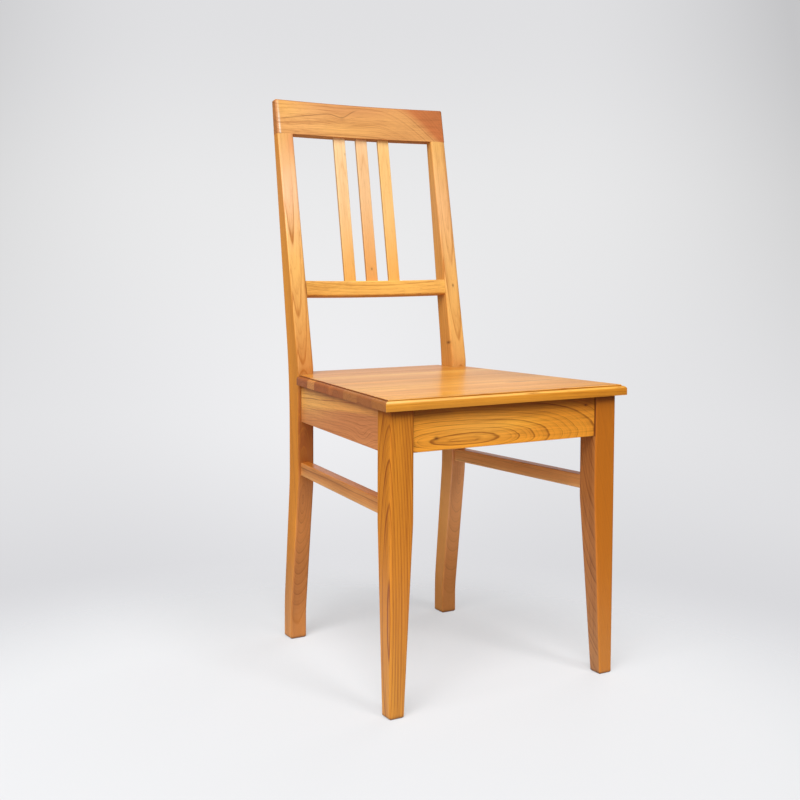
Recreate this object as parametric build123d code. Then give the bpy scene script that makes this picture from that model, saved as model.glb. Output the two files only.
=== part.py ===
from build123d import *
from math import asin, atan2, cos, degrees, hypot, radians, sin
import os

# A wooden side chair, in millimetres. It is laid out with x across the chair, y = 0 at the faces of the
# front legs and rising towards the back, and z = 0 on the floor. Right-hand pieces are made first and
# mirrored. At the end the whole chair is moved so that the origin is under the middle of its outline.

# Stance
SEAT_HEIGHT = 455.0          # floor to the top of the seat
FRONT_WIDTH = 403.0          # across the outer faces of the front legs
REAR_WIDTH = 334.3           # across the outer faces of the rear legs
LEG_REACH = 364.3            # face of the front legs to face of the rear legs

# Front legs: square above the stretchers, tapered on the two inner faces below them
LEG_SQUARE = 38.5
FOOT_SQUARE = 24.0
TAPER_DROP = 8.0             # start of the taper, below the stretchers
TAPER_SOFTNESS = 300.0       # radius that eases the taper in
EDGE_ROUND = 3.0             # rounding of the long edges of all legs
FOOT_CHAMFER = 2.0

# Rear legs: one piece each, kicked back at the foot and raked back above the seat
REAR_LEG_WIDTH = 29.0
REAR_LEG_DEPTH = 36.0        # at the aprons
REAR_FOOT_DEPTH = 28.5
FOOT_KICK = 29.7             # face of the foot, behind the face of the leg
KICK_DROP = 13.0             # start of the kick on the front face, below the stretchers
KICK_END = 46.0              # height at which the front face is upright again
KICK_RADIUS = 200.0
HEEL_DROP = 11.0             # the same three sizes on the rear face
HEEL_END = 60.0
HEEL_RADIUS = 400.0
RAKE = 11.0                  # degrees that the back leans from upright
BEND_RISE = 11.0             # bend of the front face, above the seat
BEND_RADIUS = 40.0
SPINE_DROP = 10.0            # bend of the rear face, below the top of the seat
SPINE_RADIUS = 1060.0
POST_LENGTH = 401.0          # bend to crest rail, along the rake
POST_TOP_DEPTH = 17.7

# Crest rail, bowed backwards, on top of the posts
CREST_HEIGHT = 59.0
CREST_TOP_THICKNESS = 14.5
CREST_BOW = 6.5
CREST_PROUD = 1.0            # ends of the crest, in front of the posts
CREST_ROUND = 3.0

# Back rail, bowed backwards, between the posts
RAIL_RISE = 121.4            # bend to the underside of the rail, along the rake
RAIL_HEIGHT = 26.3
RAIL_THICKNESS = 23.0
RAIL_INSET = 1.1             # ends of the rail, behind the faces of the posts
RAIL_BOW = 8.0
RAIL_ROUND = 3.0
RAIL_BEVEL = 2.0             # edges of its back

# Slats
SLAT_SIDES = ("left", "centre", "right")
SLAT_WIDTH = 22.0
SLAT_THICKNESS = 6.0
SLAT_PITCH = 44.0
SLAT_LET_IN = 8.0            # depth of each end in its rail
SLAT_ROUND = 1.5

# Seat: glued up from staves, with a step and a quarter-round along the front and the sides
SEAT_THICKNESS = 16.0
SEAT_NOSE = 10.7             # overhang past the faces of the front legs
SEAT_FRONT_OVERHANG = 13.6   # overhang past the outer faces of the front legs, at the front edge
SEAT_REAR_OVERHANG = 3.0     # overhang past the outer faces of the rear legs
SEAT_TAIL = 47.0             # reach behind the faces of the rear legs
SEAT_STEP = 2.0
SEAT_LEDGE = 0.7
SEAT_ROUND = 5.0
SEAT_RIM_BEVEL = 0.6         # edge of the top, above the step
NOTCH_GAP = 0.5              # seat to rear legs
STAVE_SHARES = (51, 57, 54, 62, 66, 32, 48, 52)   # how the staves share the seat, from the front

# Aprons under the seat
APRON_HEIGHT = 62.4
APRON_THICKNESS = 20.0
APRON_SETBACK = 4.1          # front apron, behind the faces of the front legs
SIDE_SETBACK = 4.3           # side aprons, inside the outer faces of the front legs
SIDE_REAR_SETBACK = 5.5      # side aprons, inside the outer faces of the rear legs
REAR_APRON_THICKNESS = 18.0
REAR_APRON_INSET = 6.3       # rear apron, in front of the backs of the rear legs
APRON_EASE = 1.0             # rounding of the aprons' lower edges

# Side stretchers
STRETCHER_HEIGHT = 22.0
STRETCHER_THICKNESS = 19.0
STRETCHER_CLEAR = 68.6       # space between a side apron and its stretcher
STRETCHER_SETBACK = 4.8      # inside the outer faces of the legs
STRETCHER_ROUND = 2.0

# Joinery
TENON_THICKNESS = 8.0
TENON_LENGTH = 16.0
TENON_SHOULDER = 4.0         # edge of a rail to the edge of its tenon
APRON_HAUNCH = 12.0          # top of an apron to the top of its tenon
TENON_WALL = 3.0             # wood left between tenons that cross in one leg
GLUE_GAP = 0.1               # play round a tenon, slat or dowel
END_GAP = 0.5                # play at the end of a tenon, slat, dowel or screw
DOWEL_DIAMETER = 8.0
DOWEL_LENGTH = 40.0
DOWEL_SPACING = 14.0
DOWEL_CHAMFER = 1.0
ROD_SIDES = 8                # flats on a dowel or a screw, and in its hole

# Corner blocks and their screws
BLOCK_ARM = 60.0
BLOCK_HEIGHT = 25.0
BLOCK_GAP = 1.0              # block to leg
SCREW_DIAMETER = 4.0
SCREW_HEAD_DIAMETER = 8.0
SCREW_HEAD_HEIGHT = 3.0
SCREW_POINT = 3.0
SCREW_GRIP = 12.0            # wood under the head of a screw into an apron
SCREW_BITE = 13.0            # depth of its point in the apron
SEAT_SCREW_GRIP = 17.0
SEAT_SCREW_BITE = 10.0
SCREW_PLAY = 0.05            # play round a screw
HEAD_PLAY = 0.5

# Heights and lines that several pieces share
seat_under = SEAT_HEIGHT - SEAT_THICKNESS
apron_under = seat_under - APRON_HEIGHT
stretcher_top = apron_under - STRETCHER_CLEAR
stretcher_under = stretcher_top - STRETCHER_HEIGHT
front_outer = FRONT_WIDTH / 2
front_inner = front_outer - LEG_SQUARE
rear_outer = REAR_WIDTH / 2
rear_inner = rear_outer - REAR_LEG_WIDTH
rear_leg_back = LEG_REACH + REAR_LEG_DEPTH
front_apron_back = APRON_SETBACK + APRON_THICKNESS
rear_apron_back = rear_leg_back - REAR_APRON_INSET
rear_apron_front = rear_apron_back - REAR_APRON_THICKNESS
crest_top = POST_LENGTH + CREST_HEIGHT
rail_top = RAIL_RISE + RAIL_HEIGHT

# Side tenons stop short of the front and rear aprons' tenons, which cross them in the legs
side_tenon_start = (APRON_SETBACK + front_apron_back + TENON_THICKNESS) / 2 + TENON_WALL
side_tenon_end = (rear_apron_front + rear_apron_back - TENON_THICKNESS) / 2 - TENON_WALL

# The leaning plane of the back: x across, y into the back, z up along the rake from the bend
back_plane = Plane(
    origin=(0, LEG_REACH, SEAT_HEIGHT + BEND_RISE),
    x_dir=(1, 0, 0),
    z_dir=(0, sin(radians(RAKE)), cos(radians(RAKE))),
)


def block(x_range, y_range, z_range):
    """Box between three pairs of limits."""
    size = [high - low for low, high in (x_range, y_range, z_range)]
    corner = [low for low, _ in (x_range, y_range, z_range)]
    return Pos(*corner) * Box(*size, align=Align.MIN)


def mirrored(piece):
    """The left-hand twin of a right-hand piece."""
    return mirror(piece, about=Plane.YZ)


def outline(*corners):
    """Face through corners (u, v, radius); a radius of 0 leaves a corner sharp."""
    points = [(u, v) for u, v, _ in corners]
    return make_face(FilletPolyline(*points, radius=[radius for _, _, radius in corners], close=True))


def rod(radius, length):
    """Round rod with a few flats, which stands on z = 0."""
    return extrude(RegularPolygon(radius, ROD_SIDES), length)


def runs_up(edge):
    """Whether an edge runs up a leg, rather than across it or round its ends."""
    return abs(edge.tangent_at(0.5).Z) > 0.5


def finish_leg(leg):
    """Round a leg's long edges and chamfer its foot."""
    leg = fillet(leg.edges().filter_by(runs_up), EDGE_ROUND)
    return chamfer(leg.faces().sort_by(Axis.Z)[0].edges(), FOOT_CHAMFER)


# Side rails: aprons and stretchers that run from a front leg to a rear leg, slanted in plan
class SideRail:
    def __init__(self, front_x, rear_x, thickness, under, top, haunch):
        self.run = LEG_REACH - LEG_SQUARE
        self.slope = (rear_x - front_x) / self.run
        self.spread = hypot(1, self.slope)
        self.front_x = front_x
        self.thickness = thickness
        self.under = under
        self.top = top
        self.haunch = haunch

    def x_at(self, y, depth):
        """Across the chair, on the line that lies depth inside the rail's outer face."""
        return self.front_x + self.slope * (y - LEG_SQUARE) - depth * self.spread

    def slab(self, depths, y_range, z_range):
        """Slanted slab between two depths in the rail."""
        plan = [(self.x_at(y, depths[0]), y) for y in y_range]
        plan += [(self.x_at(y, depths[1]), y) for y in reversed(y_range)]
        face = make_face(Polyline(*plan, close=True))
        return Pos(0, 0, z_range[0]) * extrude(face, z_range[1] - z_range[0])

    def tongue(self, play=0.0, end=0.0):
        """The tenons at both ends in one slab; with play it is the slab that cuts their mortises."""
        middle = self.thickness / 2
        half = TENON_THICKNESS / 2 + play
        y_range = (side_tenon_start - end, side_tenon_end + end)
        z_range = (self.under + TENON_SHOULDER - play, self.top - self.haunch + play)
        return self.slab((middle - half, middle + half), y_range, z_range)

    def mortises(self):
        return self.tongue(GLUE_GAP, END_GAP)

    def body(self):
        return self.slab((0, self.thickness), (LEG_SQUARE, LEG_REACH), (self.under, self.top))


side_apron = SideRail(
    front_outer - SIDE_SETBACK,
    rear_outer - SIDE_REAR_SETBACK,
    APRON_THICKNESS,
    apron_under,
    seat_under,
    APRON_HAUNCH,
)
stretcher = SideRail(
    front_outer - STRETCHER_SETBACK,
    rear_outer - STRETCHER_SETBACK,
    STRETCHER_THICKNESS,
    stretcher_under,
    stretcher_top,
    TENON_SHOULDER,
)


def side_stretcher():
    """Right side stretcher, rounded along its four long edges."""
    body = stretcher.body()
    long_edges = body.edges().sort_by(SortBy.LENGTH)[-4:]
    return fillet(long_edges, STRETCHER_ROUND) + stretcher.tongue()


def eased(apron):
    """Round the two long lower edges of an apron."""
    lower = apron.faces().sort_by(Axis.Z)[0].edges().sort_by(SortBy.LENGTH)[-2:]
    return fillet(lower, APRON_EASE)


def cross_apron(inner, y_range, play=0.0, end=0.0):
    """Tenons of the front or rear apron in one bar; with play it cuts their mortises."""
    middle = sum(y_range) / 2
    half = TENON_THICKNESS / 2 + play
    reach = inner + TENON_LENGTH + end
    z_range = (apron_under + TENON_SHOULDER - play, seat_under - APRON_HAUNCH + play)
    return block((-reach, reach), (middle - half, middle + half), z_range)


front_apron_y = (APRON_SETBACK, front_apron_back)
rear_apron_y = (rear_apron_front, rear_apron_back)


# Back: everything here is in the leaning plane of the back
def bow_radius(half, bow):
    """Radius of a bowed face, from half its width and its bow."""
    return (half**2 + bow**2) / (2 * bow)


def bowed_plan(half, front, bow, thickness):
    """Plan of a bowed rail whose face lies at front at its ends and bows back in the middle."""
    face = ThreePointArc((-half, front), (0, front + bow), (half, front))
    rear = front + thickness
    right_end = Line((half, front), (half, rear))
    back = ThreePointArc((half, rear), (0, rear + bow), (-half, rear))
    left_end = Line((-half, rear), (-half, front))
    return make_face([face, right_end, back, left_end])


def crest_blank():
    """Crest rail before its mortises: thick where it meets the posts, thinner at its top."""
    radius = bow_radius(rear_outer, CREST_BOW)
    section = Polyline(
        (radius, POST_LENGTH),
        (radius + POST_TOP_DEPTH + CREST_PROUD, POST_LENGTH),
        (radius + CREST_TOP_THICKNESS, crest_top),
        (radius, crest_top),
        close=True,
    )
    sweep = 2 * degrees(asin(REAR_WIDTH / radius))
    ring = revolve(Rot(Z=-sweep / 2) * (Plane.YZ * make_face(section)), Axis.Z, sweep)
    width = block((-rear_outer, rear_outer), (0, 2 * radius), (0, 2 * crest_top))
    blank = Pos(0, CREST_BOW - CREST_PROUD - radius, 0) * (ring & width)
    under_edges = blank.faces().sort_by(Axis.Z)[0].edges()
    return fillet([edge for edge in blank.edges() if edge not in under_edges], CREST_ROUND)


def rail_blank():
    """Back rail between its shoulders: its long bowed edges are rounded in front and bevelled behind."""
    plan = bowed_plan(rear_inner, RAIL_INSET, RAIL_BOW, RAIL_THICKNESS)
    blank = extrude(Pos(0, 0, RAIL_RISE) * plan, RAIL_HEIGHT)
    rear_edges = blank.edges().filter_by(GeomType.CIRCLE).sort_by(Axis.Y)[-2:]
    bevelled = chamfer(rear_edges, RAIL_BEVEL)
    front_edges = bevelled.edges().filter_by(GeomType.CIRCLE).sort_by(Axis.Y)[:2]
    return fillet(front_edges, RAIL_ROUND)


def rail_tenon(play=0.0, end=0.0):
    """Tenon at the right end of the back rail; with play it cuts its mortise."""
    middle = RAIL_INSET + RAIL_THICKNESS / 2
    half = TENON_THICKNESS / 2 + play
    z_range = (RAIL_RISE + TENON_SHOULDER - play, rail_top - TENON_SHOULDER + play)
    x_range = (rear_inner - TENON_SHOULDER, rear_inner + TENON_LENGTH + end)
    return block(x_range, (middle - half, middle + half), z_range)


def bow_at(x, half, bow):
    """How far a bowed face has gone back at x."""
    radius = bow_radius(half, bow)
    return (radius**2 - x**2) ** 0.5 - (radius - bow)


def slat(x, play=0.0, end=0.0):
    """Straight slat at x, in the middle of both rails; with play it cuts its mortises."""
    low = RAIL_INSET + bow_at(x, rear_inner, RAIL_BOW) + RAIL_THICKNESS / 2
    crest_thickness = POST_TOP_DEPTH + CREST_PROUD
    high = bow_at(x, rear_outer, CREST_BOW) - CREST_PROUD + crest_thickness / 2
    span = POST_LENGTH - rail_top
    lean = degrees(atan2(high - low, span))
    section = RectangleRounded(SLAT_WIDTH + 2 * play, SLAT_THICKNESS + 2 * play, SLAT_ROUND + play)
    let_in = SLAT_LET_IN + end
    length = hypot(span, high - low) + 2 * let_in
    return Pos(x, low, rail_top) * Rot(X=-lean) * Pos(0, 0, -let_in) * extrude(section, length)


def post_dowel(x):
    """Fluted dowel across the seam of post and crest."""
    pin = chamfer(rod(DOWEL_DIAMETER / 2, DOWEL_LENGTH).edges().group_by(Axis.Z)[0], DOWEL_CHAMFER)
    pin = chamfer(pin.edges().group_by(Axis.Z)[-1], DOWEL_CHAMFER)
    return Pos(x, POST_TOP_DEPTH / 2, POST_LENGTH - DOWEL_LENGTH / 2) * pin


def dowel_bore(x):
    """Hole for a dowel, in the post and the crest."""
    depth = DOWEL_LENGTH / 2 + END_GAP
    return Pos(x, POST_TOP_DEPTH / 2, POST_LENGTH - depth) * rod(DOWEL_DIAMETER / 2 + GLUE_GAP, 2 * depth)


slat_places = [SLAT_PITCH * (index - (len(SLAT_SIDES) - 1) / 2) for index in range(len(SLAT_SIDES))]
post_middle = rear_outer - REAR_LEG_WIDTH / 2
dowel_shifts = (-DOWEL_SPACING / 2, DOWEL_SPACING / 2)
dowel_places = [side * post_middle + shift for side in (-1, 1) for shift in dowel_shifts]


# Legs
def front_leg():
    """Right front leg: the taper is the same on the inner face and on the rear face."""
    taper_top = stretcher_under - TAPER_DROP
    profile = outline(
        (0, 0, 0),
        (FOOT_SQUARE, 0, 0),
        (LEG_SQUARE, taper_top, TAPER_SOFTNESS),
        (LEG_SQUARE, seat_under, 0),
        (0, seat_under, 0),
    )
    side_view = extrude(Plane.YZ * profile, LEG_SQUARE)
    outer_face = Plane(origin=(LEG_SQUARE, 0, 0), x_dir=(-1, 0, 0), z_dir=(0, 1, 0))
    front_view = extrude(outer_face * profile, LEG_SQUARE)
    leg = Pos(front_inner, 0, 0) * finish_leg(side_view & front_view)
    leg -= cross_apron(front_inner, front_apron_y, GLUE_GAP, END_GAP)
    return leg - side_apron.mortises() - stretcher.mortises()


def rear_leg():
    """Right rear leg, cut from the plank in one bent outline."""
    foot_face = LEG_REACH + FOOT_KICK
    foot_back = foot_face + REAR_FOOT_DEPTH
    top_face = back_plane.from_local_coords((0, 0, POST_LENGTH))
    top_back = back_plane.from_local_coords((0, POST_TOP_DEPTH, POST_LENGTH))
    profile = outline(
        (foot_face, 0, 0),
        (foot_face, KICK_END, KICK_RADIUS),
        (LEG_REACH, stretcher_under - KICK_DROP, KICK_RADIUS),
        (LEG_REACH, SEAT_HEIGHT + BEND_RISE, BEND_RADIUS),
        (top_face.Y, top_face.Z, 0),
        (top_back.Y, top_back.Z, 0),
        (rear_leg_back, SEAT_HEIGHT - SPINE_DROP, SPINE_RADIUS),
        (rear_leg_back, stretcher_under - HEEL_DROP, HEEL_RADIUS),
        (foot_back, HEEL_END, HEEL_RADIUS),
        (foot_back, 0, 0),
    )
    leg = Pos(rear_inner, 0, 0) * finish_leg(extrude(Plane.YZ * profile, REAR_LEG_WIDTH))
    leg -= cross_apron(rear_inner, rear_apron_y, GLUE_GAP, END_GAP)
    leg = leg - side_apron.mortises() - stretcher.mortises()
    leg -= back_plane * rail_tenon(GLUE_GAP, END_GAP)
    for x in dowel_places:
        leg -= back_plane * dowel_bore(x)
    return leg


# Screws
def screw(grip, bite):
    """Screw that points up: its head hangs under z = 0 and its point reaches grip + bite."""
    shank_length = grip + bite - SCREW_POINT
    radius = SCREW_DIAMETER / 2
    head = Pos(0, 0, -SCREW_HEAD_HEIGHT) * rod(SCREW_HEAD_DIAMETER / 2, SCREW_HEAD_HEIGHT)
    tip = Pos(0, 0, shank_length + SCREW_POINT) * RegularPolygon(radius / 4, ROD_SIDES)
    point = loft([Pos(0, 0, shank_length) * RegularPolygon(radius, ROD_SIDES), tip], ruled=True)
    return head + rod(radius, shank_length) + point


def screw_hole(grip, bite, reach):
    """Bore for a screw, with a counterbore that reaches back from its head."""
    shank = rod(SCREW_DIAMETER / 2 + SCREW_PLAY, grip + bite + END_GAP)
    counterbore = rod(SCREW_HEAD_DIAMETER / 2 + HEAD_PLAY, reach)
    return shank + Pos(0, 0, -reach) * counterbore


class CornerBlock:
    """Right-hand block between a cross apron and the side apron, notched round the leg in the corner."""

    def __init__(self, apron_face, towards, leg_x, leg_y):
        self.apron_face = apron_face
        self.towards = towards
        self.leg_x = leg_x
        self.leg_y = leg_y
        self.far_y = apron_face + towards * BLOCK_ARM
        self.corner_x = side_apron.x_at(apron_face, APRON_THICKNESS)
        self.far_x = self.corner_x - BLOCK_ARM
        self.under = seat_under - BLOCK_HEIGHT
        self.middle = seat_under - BLOCK_HEIGHT / 2

    def apron_screw(self):
        """Place of the screw into the front or rear apron."""
        x = (self.leg_x - BLOCK_GAP + self.far_x) / 2
        y = self.apron_face + self.towards * SCREW_GRIP
        return Plane(origin=(x, y, self.middle), z_dir=(0, -self.towards, 0))

    def side_screw(self):
        """Place of the screw into the side apron, square to its slanted face."""
        y = (self.leg_y + self.towards * BLOCK_GAP + self.far_y) / 2
        outwards = Vector(1, -side_apron.slope, 0).normalized()
        on_face = Vector(side_apron.x_at(y, APRON_THICKNESS), y, self.middle)
        return Plane(origin=on_face - outwards * SCREW_GRIP, z_dir=outwards)

    def seat_screw(self):
        """Place of the screw up into the seat, between the notch and the long face of the block."""
        far_side_x = side_apron.x_at(self.far_y, APRON_THICKNESS)
        x = (self.leg_x + (self.far_x + far_side_x) / 2) / 2
        y = (self.leg_y + (self.apron_face + self.far_y) / 2) / 2
        return Plane(origin=(x, y, seat_under - SEAT_SCREW_GRIP), z_dir=(0, 0, 1))

    def apron_holes(self):
        places = (self.apron_screw(), self.side_screw())
        return [place * screw_hole(SCREW_GRIP, SCREW_BITE, BLOCK_ARM) for place in places]

    def seat_hole(self):
        return self.seat_screw() * screw_hole(SEAT_SCREW_GRIP, SEAT_SCREW_BITE, BLOCK_HEIGHT)

    def apron_screws(self):
        return [place * screw(SCREW_GRIP, SCREW_BITE) for place in (self.apron_screw(), self.side_screw())]

    def seat_screws(self):
        return [self.seat_screw() * screw(SEAT_SCREW_GRIP, SEAT_SCREW_BITE)]

    def solid(self):
        plan = make_face(
            Polyline(
                (self.corner_x, self.apron_face),
                (self.far_x, self.apron_face),
                (side_apron.x_at(self.far_y, APRON_THICKNESS), self.far_y),
                close=True,
            )
        )
        body = Pos(0, 0, self.under) * extrude(plan, BLOCK_HEIGHT)
        notch_x = (self.leg_x - BLOCK_GAP, self.corner_x + BLOCK_ARM)
        notch_y = sorted((self.apron_face, self.leg_y + self.towards * BLOCK_GAP))
        body -= block(notch_x, notch_y, (self.under, seat_under))
        for hole in self.apron_holes():
            body -= hole
        return body - self.seat_hole()


front_block = CornerBlock(front_apron_back, 1, front_inner, LEG_SQUARE)
rear_block = CornerBlock(rear_apron_front, -1, rear_inner, LEG_REACH)


# Aprons
def cut_on_both_sides(piece, holes):
    for hole in holes:
        piece -= hole
        piece -= mirrored(hole)
    return piece


def front_apron():
    body = eased(block((-front_inner, front_inner), front_apron_y, (apron_under, seat_under)))
    return cut_on_both_sides(body + cross_apron(front_inner, front_apron_y), front_block.apron_holes())


def rear_apron():
    body = eased(block((-rear_inner, rear_inner), rear_apron_y, (apron_under, seat_under)))
    return cut_on_both_sides(body + cross_apron(rear_inner, rear_apron_y), rear_block.apron_holes())


def right_side_apron():
    body = eased(side_apron.body()) + side_apron.tongue()
    for hole in front_block.apron_holes() + rear_block.apron_holes():
        body -= hole
    return body


# Back pieces, leaning
def crest_rail():
    rail = crest_blank()
    for x in slat_places:
        rail -= slat(x, GLUE_GAP, END_GAP)
    for x in dowel_places:
        rail -= dowel_bore(x)
    return back_plane * rail


def back_rail():
    rail = rail_blank() + rail_tenon() + mirrored(rail_tenon())
    for x in slat_places:
        rail -= slat(x, GLUE_GAP, END_GAP)
    return back_plane * rail


# Seat
seat_slope = (rear_outer + SEAT_REAR_OVERHANG - front_outer - SEAT_FRONT_OVERHANG) / (LEG_REACH + SEAT_NOSE)
seat_back = LEG_REACH + SEAT_TAIL


def seat_plan(inset):
    """Seat outline, drawn in by inset along the front and the two sides."""
    front = -SEAT_NOSE + inset
    notch = LEG_REACH - NOTCH_GAP
    tongue_half = rear_inner - NOTCH_GAP
    side_inset = inset * hypot(1, seat_slope)
    front_half = front_outer + SEAT_FRONT_OVERHANG + seat_slope * inset - side_inset
    rear_half = front_half + seat_slope * (notch - front)
    right = [(front_half, front), (rear_half, notch), (tongue_half, notch), (tongue_half, seat_back)]
    left = [(-x, y) for x, y in reversed(right)]
    return make_face(Polyline(*right, *left, close=True))


def seat_panel():
    """The whole seat before it is divided into staves."""
    low_height = SEAT_THICKNESS - SEAT_STEP
    lower = Pos(0, 0, seat_under) * extrude(seat_plan(0), low_height)
    rim = lower.faces().sort_by(Axis.Z)[-1].edges()
    outer_rim = [edge for edge in rim if edge.center().Y < LEG_REACH - SEAT_TAIL]
    lower = fillet(outer_rim, SEAT_ROUND)
    upper = Pos(0, 0, seat_under + low_height) * extrude(seat_plan(SEAT_LEDGE + SEAT_ROUND), SEAT_STEP)
    step_rim = upper.faces().sort_by(Axis.Z)[-1].edges()
    upper = chamfer([edge for edge in step_rim if edge.center().Y < LEG_REACH - SEAT_TAIL], SEAT_RIM_BEVEL)
    return cut_on_both_sides(lower + upper, [front_block.seat_hole(), rear_block.seat_hole()])


def seat_staves():
    """Staves from the front to the back, each with its width's share of the seat."""
    panel = seat_panel()
    depth = seat_back + SEAT_NOSE
    half = front_outer + SEAT_FRONT_OVERHANG
    staves = []
    start = -SEAT_NOSE
    for share in STAVE_SHARES:
        end = start + depth * share / sum(STAVE_SHARES)
        staves.append(panel & block((-half, half), (start, end), (seat_under, SEAT_HEIGHT)))
        start = end
    return staves


def both_hands(name, right):
    return {f"{name}_right": right, f"{name}_left": mirrored(right)}


def group(solids):
    """One node of separate solids, on both sides of the chair."""
    return Compound([solid for right in solids for solid in (right, mirrored(right))])


def all_pieces():
    pieces = {}
    pieces |= both_hands("front_leg", front_leg())
    pieces |= both_hands("rear_leg", rear_leg())
    pieces["crest_rail"] = crest_rail()
    pieces["back_rail"] = back_rail()
    for side, x in zip(SLAT_SIDES, slat_places):
        pieces[f"back_slat_{side}"] = back_plane * slat(x)
    pieces["front_apron"] = front_apron()
    pieces["rear_apron"] = rear_apron()
    pieces |= both_hands("side_apron", right_side_apron())
    pieces |= both_hands("side_stretcher", side_stretcher())
    for number, stave in enumerate(seat_staves(), start=1):
        pieces[f"seat_stave_{number}"] = stave
    pieces |= both_hands("front_corner_block", front_block.solid())
    pieces |= both_hands("rear_corner_block", rear_block.solid())
    pieces["block_screws"] = group(front_block.apron_screws() + rear_block.apron_screws())
    pieces["seat_screws"] = group(front_block.seat_screws() + rear_block.seat_screws())
    pieces["crest_dowels"] = group([back_plane * post_dowel(x) for x in dowel_places if x > 0])
    return pieces


def main():
    pieces = all_pieces()
    box = Compound(list(pieces.values())).bounding_box()
    to_origin = Pos(0, -(box.min.Y + box.max.Y) / 2, 0)
    os.makedirs("parts", exist_ok=True)
    for name, piece in pieces.items():
        export_step(to_origin * piece, f"parts/{name}.step")
    print(f"{len(pieces)} pieces, {box.size.X:.1f} wide, {box.size.Y:.1f} deep, {box.size.Z:.1f} high")
    print(f"faces of the front legs at y = {to_origin.position.Y:.2f}")


main()
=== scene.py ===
# %% [markdown]
# # A side chair in honey-coloured wood
# This notebook dresses a wooden dining chair for its picture. The joinery comes from a CAD model: legs,
# rails, slats, seat staves and blocks, each a node of its own at its real size in metres. Nothing is moved
# here. The lesson is about finish: how solid timber, lacquer, screws and studio light are made from nodes
# alone.

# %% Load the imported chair
from math import cos, radians, sin

import bmesh
import bpy
from mathutils import Matrix, Vector


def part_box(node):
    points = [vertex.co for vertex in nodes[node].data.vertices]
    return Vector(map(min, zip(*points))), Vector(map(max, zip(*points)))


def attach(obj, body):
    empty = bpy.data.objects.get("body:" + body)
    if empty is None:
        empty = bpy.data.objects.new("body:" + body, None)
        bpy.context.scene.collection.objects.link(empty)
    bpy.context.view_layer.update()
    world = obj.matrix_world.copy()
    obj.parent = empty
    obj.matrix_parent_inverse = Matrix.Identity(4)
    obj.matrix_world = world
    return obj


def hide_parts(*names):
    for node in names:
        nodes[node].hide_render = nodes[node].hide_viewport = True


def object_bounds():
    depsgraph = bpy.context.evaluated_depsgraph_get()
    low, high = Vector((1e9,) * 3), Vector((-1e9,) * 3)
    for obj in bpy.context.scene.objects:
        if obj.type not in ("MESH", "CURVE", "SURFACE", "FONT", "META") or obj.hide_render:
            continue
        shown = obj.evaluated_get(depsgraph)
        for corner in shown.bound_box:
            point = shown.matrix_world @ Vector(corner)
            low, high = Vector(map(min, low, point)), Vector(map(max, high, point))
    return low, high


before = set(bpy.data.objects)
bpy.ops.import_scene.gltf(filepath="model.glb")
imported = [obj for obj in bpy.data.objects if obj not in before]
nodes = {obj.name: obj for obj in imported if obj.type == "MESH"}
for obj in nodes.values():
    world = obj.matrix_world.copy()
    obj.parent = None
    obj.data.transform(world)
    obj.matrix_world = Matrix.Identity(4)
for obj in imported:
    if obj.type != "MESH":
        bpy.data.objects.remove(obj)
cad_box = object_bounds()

size = cad_box[1] - cad_box[0]
print(f"{len(nodes)} nodes, {size.x:.3f} wide, {size.y:.3f} deep, {size.z:.3f} high")

# %% [markdown]
# ## The camera
# The picture is taken from the chair's front left, a little above the seat, with a normal lens. A camera can
# be aimed by a constraint, but here its three axes are written down from yaw, pitch and roll, because the
# lens is also shifted a little and an aim constraint would hide that.

# %% Camera
CAMERA_PLACE = Vector((-1.0283, -1.6534, 0.6540))
CAMERA_YAW = radians(30.0)
CAMERA_PITCH = radians(3.97)
CAMERA_ROLL = radians(0.13)
SENSOR_WIDTH = 36            # millimetres, and so is the lens
LENS_LENGTH = 53.99
LENS_SHIFT = (0.0156, -0.0773)


def camera_turn(yaw, pitch, roll):
    """Rotation of a camera that looks along yaw from +Y, pitched down and rolled."""
    forward = Vector((sin(yaw) * cos(pitch), cos(yaw) * cos(pitch), -sin(pitch)))
    right = Vector((cos(yaw), -sin(yaw), 0))
    up = right.cross(forward)
    rolled_right = right * cos(roll) + up * sin(roll)
    rolled_up = up * cos(roll) - right * sin(roll)
    return Matrix((rolled_right, rolled_up, -forward)).transposed()


lens = bpy.data.cameras.new("camera")
lens.sensor_width = SENSOR_WIDTH
lens.lens = LENS_LENGTH
lens.shift_x, lens.shift_y = LENS_SHIFT
camera = bpy.data.objects.new("camera", lens)
camera.matrix_world = Matrix.Translation(CAMERA_PLACE) @ camera_turn(
    CAMERA_YAW, CAMERA_PITCH, CAMERA_ROLL
).to_4x4()
bpy.context.collection.objects.link(camera)
bpy.context.scene.camera = camera
print(f"camera {CAMERA_PLACE.length:.2f} m from the middle of the floor under the chair")

# %% [markdown]
# ## Shader maths that reads like maths
# A shader is a graph of small nodes. Wiring each one by hand takes four lines, so two small classes do it: a
# `Wire` is an output socket that can be added, multiplied or divided in a Python expression, and a `Bench` is
# the node tree that the wires belong to. Every other kind of node comes from `Bench.add`.

# %% Wires and benches
SEED_STEPS = (3.1, 5.7, 7.3)   # how far apart one seed and the next lie in the noise


class Wire:
    """An output socket, for use in expressions."""

    def __init__(self, bench, socket):
        self.bench = bench
        self.socket = socket

    def __add__(self, other):
        return self.bench.math("ADD", self, other)

    __radd__ = __add__

    def __sub__(self, other):
        return self.bench.math("SUBTRACT", self, other)

    def __rsub__(self, other):
        return self.bench.math("SUBTRACT", other, self)

    def __mul__(self, other):
        return self.bench.math("MULTIPLY", self, other)

    __rmul__ = __mul__

    def __truediv__(self, other):
        return self.bench.math("DIVIDE", self, other)

    def __rtruediv__(self, other):
        return self.bench.math("DIVIDE", other, self)

    def output(self, name):
        """Another output of the same node."""
        return Wire(self.bench, self.socket.node.outputs[name])


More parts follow.
